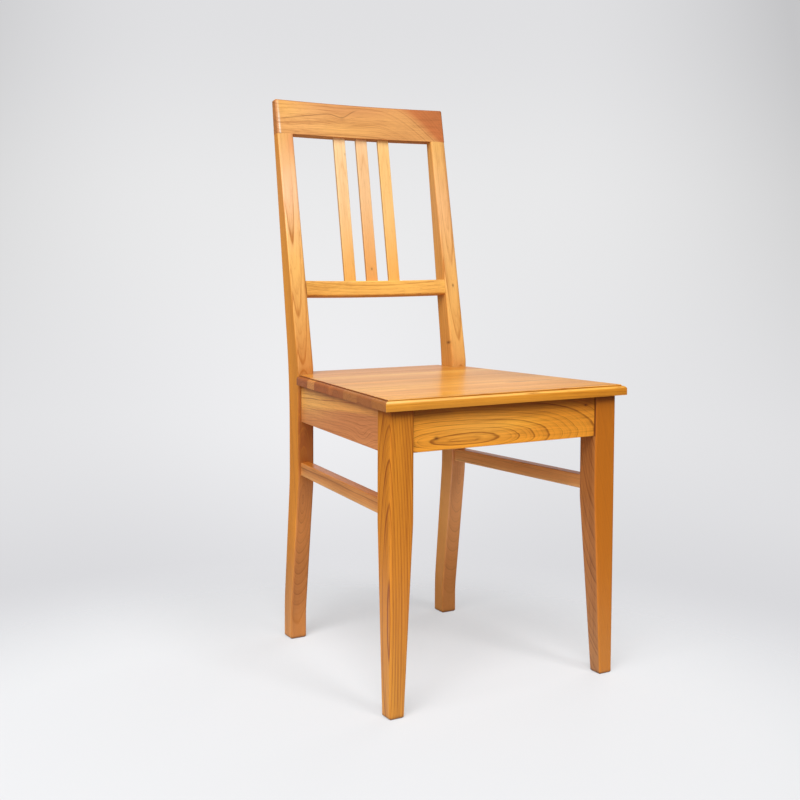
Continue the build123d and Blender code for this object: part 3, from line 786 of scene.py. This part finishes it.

# %% [markdown]
# ## The slats
# Three thin pale strips with a pin knot or two, and their sides darker than their faces. They
# could be one strip copied twice, but no two boards are alike, so each has a tone, a seed and knots of its
# own.

# %% Slats
RAKED = (0, 0.19, 0.98)
SLAT_FADE = (0.04, -0.14)
SLAT_SIDES = ((LEFT, GRAIN_AND_SHADE_BROWN, 0.42), (RIGHT, GRAIN_AND_SHADE_BROWN, 0.42))
SLAT_TOP_LIGHT = (((0, 0.219, 0.848), (1, 1, 0.016), (1.06, 1.07, 1.10)),)   # painted light at the upper ends, against the crest's shadow
LEFT_PIN = ((-0.0355, 0.2105, 0.831), 0.0014, 0.0, 0.9)
CENTRE_PIN = ((0.0, 0.1800, 0.630), 0.0014, 0.0, 0.9)
SLATS = (
    ("left", SLAT_TONE, (LEFT_PIN,)),
    ("centre", PINK_SLAT_TONE, (CENTRE_PIN,)),
    ("right", GOLD_SLAT_TONE, ()),
)
for number, (name, tones, pins) in enumerate(SLATS):
    slat = Plank(
        f"back_slat_{name}", RAKED, LEANING, tones, seed=12 + number, contrast=0.3, sides=SLAT_SIDES,
        fade=SLAT_FADE, marks=SLAT_TOP_LIGHT, knots=pins,
    )
    dress(slat)
print(f"{len(SLATS)} slats cut")

# %% [markdown]
# ## Stretchers, blocks and dowels
# The stretchers are plain straight-grained bars. The corner blocks under the seat and the dowels in the
# posts are offcuts that nobody sees from the front. One flat colour would hide there, but turned over, the
# chair would show it, so they are cut from trees like the rest.

# %% Small wooden pieces
BAR_EDGE = ((0, 0, 0.2885), (1, 1, 0.0035), (1.22, 1.45, 1.80))   # paler along the lower edge
BAR_TOP = (UP, stain(188, 104, 8), 0.75)
DIAGONAL = (1, 1, 0)
for number, (side, run) in enumerate(SIDE_RUN.items()):
    tones = LEFT_BAR_TONE if side == "left" else BAR_TONE
    dress(Plank(f"side_stretcher_{side}", run, LEFT, tones, seed=15 + number, depth=0.06, offset=0.03,
                contrast=0.8, sides=(BAR_TOP,), marks=(BAR_EDGE,)))
for number, name in enumerate(("front_corner_block", "rear_corner_block")):
    for side in SIDE_RUN:
        dress(Plank(f"{name}_{side}", DIAGONAL, UP, SLAT_TONE, seed=18 + number, depth=0.06))
dress(Plank("crest_dowels", RAKED, LEANING, SLAT_TONE, seed=21, depth=0.08))
print("stretchers, blocks and dowels cut")

# %% [markdown]
# ## Screws
# Twelve zinc-plated screws, seen only from below, pull the corner blocks to the aprons and to the seat. One
# could be modelled and copied by hand, but a Geometry Nodes tree makes a screw from its sizes and sets it on
# points that carry an axis, so all of them stay alike. The CAD screws say where they go.

# %% Places of the screws
POINT_REACH = 0.0012   # corners this near the farthest one are the screw's point
RING_REACH = 0.0002    # and this near the top, the rim of its head
SAME_CORNER = 1e-6


def middle_of(corners):
    """Mean of some corners."""
    return sum(corners, Vector()) / len(corners)


def loose_parts(shape):
    """Corners of each loose part of a mesh, in the order of their first corner."""
    seen = set()
    for first in shape.verts:
        if first in seen:
            continue
        seen.add(first)
        part = [first]
        for corner in part:
            for edge in corner.link_edges:
                other = edge.other_vert(corner)
                if other not in seen:
                    seen.add(other)
                    part.append(other)
        yield [corner.co.copy() for corner in part]


def screw_places(node):
    """Middle of the top of the head, and axis from point to head, of every screw in a CAD node."""
    shape = bmesh.new()
    shape.from_mesh(nodes[node].data)
    shape.transform(nodes[node].matrix_world)
    bmesh.ops.remove_doubles(shape, verts=shape.verts, dist=SAME_CORNER)
    places = []
    for part in loose_parts(shape):
        centre = middle_of(part)
        farthest = max(part, key=lambda corner: (corner - centre).length)
        point = middle_of([corner for corner in part if (corner - farthest).length < POINT_REACH])
        axis = (centre - point).normalized()
        top = max(corner.dot(axis) for corner in part)
        head = middle_of([corner for corner in part if corner.dot(axis) > top - RING_REACH])
        places.append((head, axis, (head - point).length))
    shape.free()
    return places


for name in ("block_screws", "seat_screws"):
    print(name, [f"{1000 * length:.1f} mm" for _, _, length in screw_places(name)])

# %% [markdown]
# ## One screw from its sizes
# A pan-head wood screw: a domed head with a cross recess, a core, a cone for a point and a thread wound
# round the core. It could be a lathe profile in mesh code, but as a node tree each size is an input that can
# be changed afterwards. The dome is half a ball, the thread a triangle swept along a spiral.

# %% One screw as a Geometry Nodes tree
SCREW_SIZES = {
    "Head Width": 0.0076,
    "Head Height": 0.0029,
    "Core Width": 0.0026,
    "Thread Width": 0.0036,
    "Pitch": 0.0018,
    "Recess": 0.0042,
}
TREE_SOCKETS = (("Points", "Geometry"), *((name, "Float") for name in SCREW_SIZES), ("Length", "Float"),
                ("Steel", "Material"))
RECESS_WIDTH = 0.0009
RECESS_DEPTH = 0.0032
POINT_LENGTH = 0.003
POINT_RADIUS = 0.0002
HEAD_DOME = 0.6      # below 1 for a head fuller than a ball
BALL = {"Segments": 24, "Rings": 12, "Radius": 1.0}
ROUND = 16           # sides of the core and of a turn of the thread


def screw_head(bench, sizes):
    """Flat-bottomed dome with a cross recess; the middle of its top is the origin."""
    ball = bench.add("GeometryNodeMeshUVSphere", {}, BALL)
    x, y, z = split(bench, bench.add("GeometryNodeInputPosition", {}, {}))
    half = sizes.output("Head Width") * 0.5
    drop = bench.math("POWER", bench.math("MAXIMUM", z, 0.0), HEAD_DOME) - 1
    rise = drop * sizes.output("Head Height")
    dome = bench.add("ShaderNodeCombineXYZ", {}, {0: x * half, 1: y * half, 2: rise})
    head = bench.add("GeometryNodeSetPosition", {}, {"Geometry": ball, "Position": dome})
    reach = sizes.output("Recess")
    slots = []
    for sockets in ({0: reach, 1: RECESS_WIDTH}, {0: RECESS_WIDTH, 1: reach}):
        size = bench.add("ShaderNodeCombineXYZ", {}, {**sockets, 2: RECESS_DEPTH})
        slots.append(bench.add("GeometryNodeMeshCube", {}, {"Size": size}))
    meshes = {"Mesh 1": head, "Mesh 2": slots}
    return bench.add("GeometryNodeMeshBoolean", {"operation": "DIFFERENCE"}, meshes)


def lowered(bench, geometry, depth):
    """The same geometry, further down."""
    down = bench.add("ShaderNodeCombineXYZ", {}, {2: depth * -1})
    return bench.add("GeometryNodeTransform", {}, {"Geometry": geometry, "Translation": down})


def screw_shank(bench, sizes):
    """Core, point and thread below the head."""
    radius = sizes.output("Core Width") * 0.5
    length = sizes.output("Length")
    height = sizes.output("Head Height")
    stem = length - height - POINT_LENGTH
    core = bench.add("GeometryNodeMeshCylinder", {}, {"Vertices": ROUND, "Radius": radius, "Depth": stem})
    cone = {"Vertices": ROUND, "Radius Top": radius, "Radius Bottom": POINT_RADIUS, "Depth": POINT_LENGTH}
    point = bench.add("GeometryNodeMeshCone", {}, cone)
    crest = sizes.output("Thread Width") * 0.5 - radius
    turns = stem / sizes.output("Pitch")
    spiral = {"Resolution": ROUND, "Rotations": turns, "Start Radius": radius, "End Radius": radius}
    path = bench.add("GeometryNodeCurveSpiral", {}, {**spiral, "Height": stem})
    profile = bench.add("GeometryNodeCurvePrimitiveCircle", {}, {"Resolution": 3, "Radius": crest})
    sweep = {"Curve": path, "Profile Curve": profile, "Fill Caps": True}
    thread = bench.add("GeometryNodeCurveToMesh", {}, sweep)
    return [lowered(bench, core, height + stem * 0.5), lowered(bench, point, length),
            lowered(bench, thread, height + stem)]


def screw_tree():
    """Tree that sets one screw on each of the points that it is given."""
    tree = bpy.data.node_groups.new("screws", "GeometryNodeTree")
    for name, kind in TREE_SOCKETS:
        tree.interface.new_socket(name, in_out="INPUT", socket_type=f"NodeSocket{kind}")
    tree.interface.new_socket("Screws", in_out="OUTPUT", socket_type="NodeSocketGeometry")
    bench = Bench(tree)
    sizes = bench.add("NodeGroupInput", {}, {})
    parts = [screw_head(bench, sizes), *screw_shank(bench, sizes)]
    screw = bench.add("GeometryNodeJoinGeometry", {}, {"Geometry": parts})
    axis = bench.add("GeometryNodeInputNamedAttribute", {"data_type": "FLOAT_VECTOR"}, {"Name": "screw_axis"})
    turn = bench.add("FunctionNodeAlignRotationToVector", {"axis": "Z"}, {"Vector": axis})
    sockets = {"Points": sizes, "Instance": screw, "Rotation": turn}
    set_out = bench.add("GeometryNodeInstanceOnPoints", {}, sockets)
    solid = bench.add("GeometryNodeRealizeInstances", {}, {"Geometry": set_out})
    plated = {"Geometry": solid, "Material": sizes.output("Steel")}
    finished = bench.add("GeometryNodeSetMaterial", {}, plated)
    bench.add("NodeGroupOutput", {}, {"Screws": finished})
    return tree


print(f"{len(TREE_SOCKETS)} inputs of the screw tree")

# %% [markdown]
# ## Zinc plate
# The screws are plated with zinc that has dulled in clouds. One grey metal would do at this size, but two
# greys mixed by noise, rougher where they are duller, look plated from near by too.

# %% Zinc
ZINC_CELLS = (900, 900, 900)
ZINC_BRIGHT = stain(196, 192, 178)
ZINC_DULL = stain(150, 146, 136)
BRIGHT_ROUGHNESS = 0.25
DULL_ROUGHNESS = 0.25    # added where it is dull


def zinc():
    """Zinc plate, duller in clouds."""
    material, bench = new_material("screw_zinc")
    cloud = bench.noise(in_chair(bench), ZINC_CELLS, 1)
    surface = {
        "Base Color": bench.mix(ZINC_BRIGHT, ZINC_DULL, cloud),
        "Metallic": 1.0,
        "Roughness": BRIGHT_ROUGHNESS + cloud * DULL_ROUGHNESS,
    }
    shader = bench.add("ShaderNodeBsdfPrincipled", {}, surface)
    bench.add("ShaderNodeOutputMaterial", {}, {"Surface": shader})
    return material


zinc_plate = zinc()
print(zinc_plate.name, "mixed")

# %% [markdown]
# ## Set the screws
# Each CAD screw gives one point with an axis, and the tree puts a screw there. The modifier could stay live,
# but the result is turned into a plain mesh, so that the screws can be exported and take the place of the
# CAD ones.

# %% Set the screws
SHARP_ANGLE = radians(40)


def set_screws(name, node, tree, steel):
    """Screws on the places of a CAD node, as one plain mesh."""
    places = screw_places(node)
    cloud = bpy.data.meshes.new(name)
    cloud.from_pydata([head for head, _, _ in places], [], [])
    axes = cloud.attributes.new("screw_axis", "FLOAT_VECTOR", "POINT")
    for corner, (_, axis, _) in zip(axes.data, places):
        corner.vector = axis
    screws = bpy.data.objects.new(name, cloud)
    bpy.context.collection.objects.link(screws)
    maker = screws.modifiers.new("screws", "NODES")
    maker.node_group = tree
    inputs = {item.name: item.identifier for item in tree.interface.items_tree if item.in_out == "INPUT"}
    for label, value in {**SCREW_SIZES, "Length": places[0][2], "Steel": steel}.items():
        maker[inputs[label]] = value
    made = screws.evaluated_get(bpy.context.evaluated_depsgraph_get())
    mesh = bpy.data.meshes.new_from_object(made)
    screws.modifiers.clear()
    screws.data = mesh
    mesh.shade_smooth()
    mesh.set_sharp_from_angle(angle=SHARP_ANGLE)
    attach(screws, "root")
    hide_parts(node)
    return screws


screw_maker = screw_tree()
for name, node in (("screws_in_blocks", "block_screws"), ("screws_in_seat", "seat_screws")):
    made_screws = set_screws(name, node, screw_maker, zinc_plate)
    print(name, len(made_screws.data.polygons), "faces")

# %% [markdown]
# ## The seat
# Eight staves glued edge to edge, with the grain from side to side. The seat could be one board with
# stripes, but each stave is its own board with its own tone, so the top shows broad bands and the left edge
# a row of end-grain blocks. The low wall of the step that runs round the seat is darkened with painted
# shade, so that wall is a dark line.

# %% Seat staves
STEP_WALL = (0.0020, 0.0009)   # depth below the top of the seat, from and to
STEP_LEDGE = 0.0065            # from the front edge of the seat to behind the front wall of the step
SEAT_MARGIN = 0.003            # bare wood along the back edge
GLUE_LINE = 0.0008
GLUE_PALE = stain(255, 206, 138)
STEP_SHADE_BROWN = stain(116, 54, 20)
SIDE_STEP_SHARE = 0.75
FRONT_STEP_SHARE = 0.35
GLUE_SHARE = 0.7
seat_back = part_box("seat_stave_8")[1].y
seat_low, seat_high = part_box("seat_stave_1")
step_low = seat_high.z - STEP_WALL[0]
step_high = seat_high.z - STEP_WALL[1]
front_wall = seat_low.y + STEP_LEDGE
# painted shade on the low wall of the step
step_wall_shade = (
    (Vector((seat_low.x, front_wall, step_low)), Vector((seat_high.x, seat_back - SEAT_MARGIN, step_high)),
     STEP_SHADE_BROWN, SIDE_STEP_SHARE),
    (Vector((seat_low.x, seat_low.y, step_low)), Vector((seat_high.x, front_wall, step_high)),
     STEP_SHADE_BROWN, FRONT_STEP_SHARE),
)
FRONT_TONE_AND_HIGHLIGHT = (
    ((0, -0.7, 0.71), stain(252, 204, 122), 0.75),   # painted highlight along the rounding
    (FRONT, stain(219, 147, 53), 0.8),
)
SEAT_MARKS = (
    ((0.22, -0.238, 0.452), (0.22, 0.010, 1), (0.97, 0.86, 0.50)),   # front edge deeper at its right
    ((-0.205, -0.238, 0.452), (0.03, 0.006, 0.003), (1.05, 1.15, 1.40)),   # painted highlight at its left end
    ((0, -0.241, 0.4395), (1, 0.010, 0.004), (0.80, 0.78, 0.88)),   # and darker along its lower side
    ((0.215, 0, 0.455), (0.075, 0.20, 1), (0.80, 0.78, 0.88)),   # the right end is darker
    ((-0.12, -0.026, 0.455), (0.13, 0.012, 0.006), (1.20, 1.24, 1.20)),   # a pale streak
    ((-0.19, -0.023, 0.446), (0.012, 0.010, 0.008), (1.30, 1.35, 1.30)),   # and its end
)


def glue_line(number):
    """Pale line along the front border of a stave."""
    low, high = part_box(f"seat_stave_{number}")
    behind = Vector((high.x, low.y + GLUE_LINE, high.z))
    return (Vector((low.x, low.y, step_high)), behind, GLUE_PALE, GLUE_SHARE)


for number, (pale, deep, flushed, ends) in enumerate(SEAT_TONES, start=1):
    front_stave = number == 1
    odd = number % 2
    dress(Plank(   # each stave comes from elsewhere in its tree
        f"seat_stave_{number}", ACROSS, UP, (pale, deep, flushed), seed=30 + number,
        depth=0.012 + 0.009 * (number % 4), offset=0.02 * (number % 3 - 1), drift=0.02 * odd, eye=0.1 * odd,
        bow=0.03, ring=0.0032 if front_stave else 0.005, contrast=1.0, sway=0.003, flush=0.8, ends=ends,
        seams_and_shade=(*step_wall_shade, glue_line(number)), sides=FRONT_TONE_AND_HIGHLIGHT if front_stave else (), marks=SEAT_MARKS,
    ))
print(f"{len(SEAT_TONES)} staves cut")

# %% [markdown]
# ## The floor
# The chair stands on a sheet of pale paper that runs out into the backdrop, so no horizon shows. A curved
# sweep could be modelled, but then the chair would stand before a wall in every other view. A flat sheet
# that fades out round the chair works from all sides. Part of what the camera sees of it is its own even
# glow, so that shadows stay soft.

# %% Floor
FLOOR_PAPER = stain(218, 219, 221)
FLOOR_BOUNCE = stain(214, 212, 208)   # the paper as the chair sees it
FLOOR_LIT = stain(231, 232, 234)      # the paper without shadow
FLOOR_GLOW = 0.5                      # share of that in what the camera sees
FLOOR_HALF = 6.0
FADE_CENTRE = (-0.3, -0.3, 0)         # in front of the chair, on the camera's side
FADE_START = 0.5
FADE_END = 1.1


def paper():
    """Matt paper that fades out away from the chair."""
    material, bench = new_material("floor_paper")
    distance = bench.vector("DISTANCE", (in_chair(bench), FADE_CENTRE))
    rays = bench.add("ShaderNodeLightPath", {}, {})   # its first output: 1 for the camera's own rays
    tone = bench.mix(FLOOR_BOUNCE, FLOOR_PAPER, rays)
    sheet = bench.add("ShaderNodeBsdfDiffuse", {}, {"Color": tone})
    glow = bench.add("ShaderNodeEmission", {}, {"Color": FLOOR_LIT})
    lit = bench.add("ShaderNodeMixShader", {}, {0: rays * FLOOR_GLOW, 1: sheet, 2: glow})
    clear = bench.add("ShaderNodeBsdfTransparent", {}, {})
    fade = bench.step(distance, FADE_START, FADE_END)
    surface = bench.add("ShaderNodeMixShader", {}, {0: fade, 1: lit, 2: clear})
    bench.add("ShaderNodeOutputMaterial", {}, {"Surface": surface})
    return material


floor_mesh = bpy.data.meshes.new("floor")
corners = [(-1, -1), (1, -1), (1, 1), (-1, 1)]
floor_mesh.from_pydata([(x * FLOOR_HALF, y * FLOOR_HALF, 0) for x, y in corners], [], [(0, 1, 2, 3)])
floor_mesh.materials.append(paper())
floor = bpy.data.objects.new("floor", floor_mesh)
bpy.context.collection.objects.link(floor)
print("floor laid")

# %% [markdown]
# ## The backdrop
# Pale grey, brightest behind the chair, and darker to both sides and upwards, as paper lit from the front
# is. It could be a big lit plane, but as the world's colour by direction it needs no shape and stays out of
# the chair's light: the camera sees it, polish mirrors one bright window of it, and all other rays see a
# dim, even room.

# %% Backdrop
BACKDROP = [(0.36, stain(217, 217, 220)), (0.44, stain(230, 230, 232)), (0.52, stain(232, 232, 233)),
            (0.60, stain(224, 224, 226)), (0.75, stain(205, 205, 207))]
RIGHT_FALLOFF = (0.12, 3.8)   # the backdrop darkens from this sideways share on, and how fast
LEFT_FALLOFF = (0.15, 3.6)
FALLOFF_RISE = 4.8            # it darkens faster higher up
DARKEST = 0.25                # and by no more than this share
HALO = 0.095                  # the backdrop is brighter behind the chair
HALO_PLACE = (-0.05, -0.15)
HALO_REACH = (0.13, 0.17)
MIRROR_AHEAD = (0.6, 0.92)    # forward shares between which the mirrored backdrop comes to full light
MIRROR_EDGE = (0.32, 0.08)    # and sideways shares
ROOM_LEVEL = 0.20             # light from all round
DARK_SIDE = 0.05              # what polish mirrors from behind the camera


def backdrop_colour(bench, sideways, height):
    """Colour of the backdrop by how far sideways and how high a ray looks."""
    right = bench.math("MAXIMUM", sideways - RIGHT_FALLOFF[0], 0.0)
    left = bench.math("MAXIMUM", sideways * -1 - LEFT_FALLOFF[0], 0.0)
    higher = bench.math("MAXIMUM", height * FALLOFF_RISE + 1, 0.0)
    falloff = (right * right * RIGHT_FALLOFF[1] + left * left * LEFT_FALLOFF[1]) * higher
    darkened = bench.math("MINIMUM", falloff, DARKEST)
    aside = (sideways - HALO_PLACE[0]) / HALO_REACH[0]
    above = (height - HALO_PLACE[1]) / HALO_REACH[1]
    halo = bench.math("EXPONENT", (aside * aside + above * above) * -1) * HALO
    level = (1 - darkened) * (halo + 1)
    grey = bench.add("ShaderNodeCombineColor", {}, {0: level, 1: level, 2: level})
    return bench.mix(bench.ramp(height * 0.5 + 0.5, BACKDROP), grey, 1.0, "MULTIPLY")


def studio_world():
    """Pale backdrop for the camera and for reflections, a dimmer room for the light."""
    world = bpy.data.worlds.new("studio")
    world.use_nodes = True
    bench = Bench(world.node_tree)
    direction = bench.add("ShaderNodeTexCoord", {}, {}).output("Generated")
    _, _, height = split(bench, direction)
    sideways = bench.vector("DOT_PRODUCT", (direction, (cos(CAMERA_YAW), -sin(CAMERA_YAW), 0)))
    ahead = bench.vector("DOT_PRODUCT", (direction, (sin(CAMERA_YAW), cos(CAMERA_YAW), 0)))
    backdrop = backdrop_colour(bench, sideways, height)
    window = bench.step(ahead, *MIRROR_AHEAD) * bench.step(sideways, *MIRROR_EDGE)
    mirrored = bench.mix((DARK_SIDE, DARK_SIDE, DARK_SIDE, 1), backdrop, window)
    rays = bench.add("ShaderNodeLightPath", {}, {})   # its first output: 1 for the camera's own rays
    glossy = bench.math("MAXIMUM", rays.output("Is Glossy Ray"), rays.output("Is Transmission Ray"))
    room = bench.mix((ROOM_LEVEL, ROOM_LEVEL, ROOM_LEVEL, 1), mirrored, glossy)
    light = bench.mix(room, backdrop, rays)
    surface = bench.add("ShaderNodeBackground", {}, {"Color": light, "Strength": 1.0})
    bench.add("ShaderNodeOutputWorld", {}, {"Surface": surface})
    return world


bpy.context.scene.world = studio_world()
print(f"backdrop of {len(BACKDROP)} greys")

# %% [markdown]
# ## The lights
# Two broad key lights come over the camera's shoulders, and two soft boxes brighten the chair's sides. The
# keys could be area lights too, but near ones light the floor unevenly, so they are distant lamps with a
# wide, soft disc. The Standard view transform leaves the stain's colours as they were written.

# %% Lights
KEY_LIGHTS = (   # name, where it comes from, strength, width of its disc in degrees
    ("left_key", (-0.9, -1.1, 2.15), 2.2, 32),
    ("right_key", (0.5, -2.2, 2.0), 1.12, 18),
)
SOFT_BOXES = (   # name, place, power
    ("side_fill", (-2.6, -1.1, 1.6), 51),
    ("right_fill", (2.4, 1.2, 1.2), 24),
)
BOX_WIDTH = 1.8
BOX_AIM = Vector((0, 0, 0.45))


def lamp(name, kind, place, power, aim):
    """New lamp that faces a point."""
    light = bpy.data.lights.new(name, kind)
    light.energy = power
    made = bpy.data.objects.new(name, light)
    made.location = place
    made.rotation_euler = (aim - Vector(place)).to_track_quat("-Z", "Y").to_euler()
    bpy.context.collection.objects.link(made)
    return made


for name, place, strength, disc in KEY_LIGHTS:
    key = lamp(name, "SUN", place, strength, Vector())
    key.data.angle = radians(disc)
for name, place, power in SOFT_BOXES:
    soft = lamp(name, "AREA", place, power, BOX_AIM)
    soft.data.size = BOX_WIDTH
    soft.visible_glossy = False   # its light without its glare on the lacquer
bpy.context.scene.view_settings.view_transform = "Standard"
print(f"{len(SOFT_BOXES)} soft boxes and {len(KEY_LIGHTS)} key lights lit")
